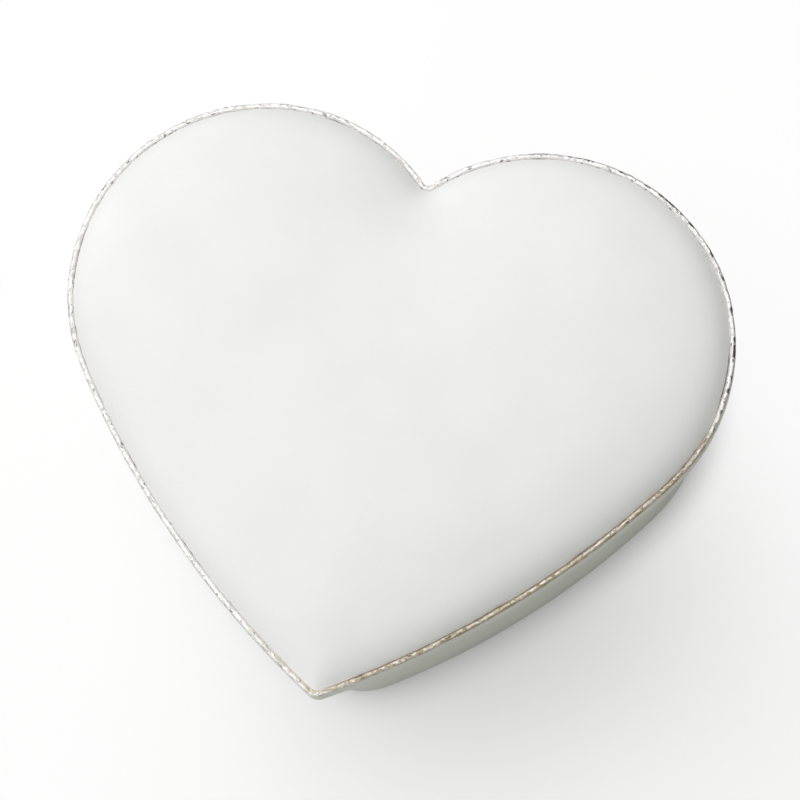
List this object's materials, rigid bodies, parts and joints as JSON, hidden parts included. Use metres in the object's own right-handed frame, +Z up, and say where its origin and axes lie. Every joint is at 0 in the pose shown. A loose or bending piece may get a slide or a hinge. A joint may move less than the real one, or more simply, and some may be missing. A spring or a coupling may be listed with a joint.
{
  "type": "wind-up music box",
  "caption": "Heart-shaped music box with a padded, silver-edged hinged lid, a key underneath and a comb and cylinder movement inside.",
  "frame": {"origin": "under the middle of the box's outline, on the surface that it stands on", "axes": "+X across the heart, +Y towards the notch and the hinges, +Z up"},
  "size_m": [0.122, 0.1048, 0.0587],
  "materials": {
    "leatherette": "off-white leatherette, fine grain, satin",
    "silver_trim": "crinkled silver foil piping",
    "board": "bare fibreboard",
    "foam": "upholstery foam",
    "felt": "pale flocked lining",
    "clear_plastic": "clear moulded plastic",
    "hinge_brass": "plated brass",
    "zinc": "zinc die casting, as cast",
    "brass": "turned brass",
    "steel": "ground steel",
    "key_metal": "plated, polished",
    "nylon": "natural nylon"
  },
  "bodies": {
    "box": {"left_wall": "board", "right_wall": "board", "body_wrap": "leatherette", "base_board": "board", "base_felt": "felt", "wall_lining": "felt", "floor_lining": "felt", "partition_front": "felt", "partition_left": "felt", "partition_right": "felt", "movement_cover": "clear_plastic", "left_hinge_body_leaf": "hinge_brass", "right_hinge_body_leaf": "hinge_brass", "left_hinge_pin": "hinge_brass", "right_hinge_pin": "hinge_brass", "body_hinge_screws": "hinge_brass", "bedplate": "zinc", "movement_screws": "steel", "comb": "steel", "comb_screws": "steel", "barrel_bridge": "zinc", "bridge_screws": "steel", "click_screw": "steel", "key_escutcheon": "key_metal", "governor_frame": "zinc", "governor_cock": "steel", "governor_screws": "steel", "stop_guide": "steel"},
    "lid": {"lid_board": "board", "lid_side_wrap": "leatherette", "lid_lining": "felt", "lid_pad": "foam", "lid_cover": "leatherette", "lid_trim_cord": "silver_trim", "left_hinge_lid_leaf": "hinge_brass", "right_hinge_lid_leaf": "hinge_brass", "lid_hinge_screws": "hinge_brass"},
    "key": {"winding_key": "key_metal", "winding_arbor": "steel", "ratchet_wheel": "steel"},
    "barrel": {"spring_barrel": "zinc", "crown_wheel": "brass", "mainspring": "steel"},
    "cylinder": {"music_cylinder": "brass", "cylinder_arbor": "steel", "cylinder_pinion": "brass", "cylinder_gear": "brass"},
    "governor_wheel": {"governor_arbor": "steel", "worm_wheel": "brass"},
    "fly": {"worm_shaft": "steel", "air_fly": "nylon"},
    "stop": {"stop_rod": "steel"},
    "click": {"click": "steel"}
  },
  "joints": [
    {"name": "lid_hinge", "type": "hinge", "parent": "box", "child": "lid", "pos_m": [0, 0.049, 0.04715], "axis": [-1, 0, 0], "range_deg": [0, 105]},
    {"name": "stop_slide", "type": "slide", "parent": "box", "child": "stop", "axis": [0, 0, 1], "range_m": [0, 0.0024]},
    {"name": "key_wind", "type": "hinge", "parent": "box", "child": "key", "pos_m": [-0.013, 0.02022, 0.0325], "axis": [0, 0, 1], "range_deg": [0, 1440]},
    {"name": "click_lift", "type": "hinge", "parent": "box", "child": "click", "pos_m": [-0.0142, 0.02772, 0.0325], "axis": [0, 0, 1], "range_deg": [0, 12]},
    {"name": "barrel_spin", "type": "hinge", "parent": "box", "child": "barrel", "pos_m": [-0.013, 0.02022, 0.0325], "axis": [0, 0, 1], "continuous": true},
    {"name": "cylinder_spin", "type": "hinge", "parent": "box", "child": "cylinder", "pos_m": [0, 0.02022, 0.0325], "axis": [1, 0, 0], "continuous": true},
    {"name": "governor_spin", "type": "hinge", "parent": "box", "child": "governor_wheel", "pos_m": [0, 0.01122, 0.0325], "axis": [1, 0, 0], "continuous": true},
    {"name": "fly_spin", "type": "hinge", "parent": "box", "child": "fly", "pos_m": [0.0252, 0.00542, 0.0325], "axis": [0, 0, 1], "continuous": true}
  ],
  "couplings": [
    {"joint": "stop_slide", "follows": "lid_hinge", "m_per_rad": 0.0013096},
    {"joint": "cylinder_spin", "follows": "barrel_spin", "ratio": 2.1},
    {"joint": "governor_spin", "follows": "barrel_spin", "ratio": -8.4},
    {"joint": "fly_spin", "follows": "barrel_spin", "ratio": -100.8}
  ]
}
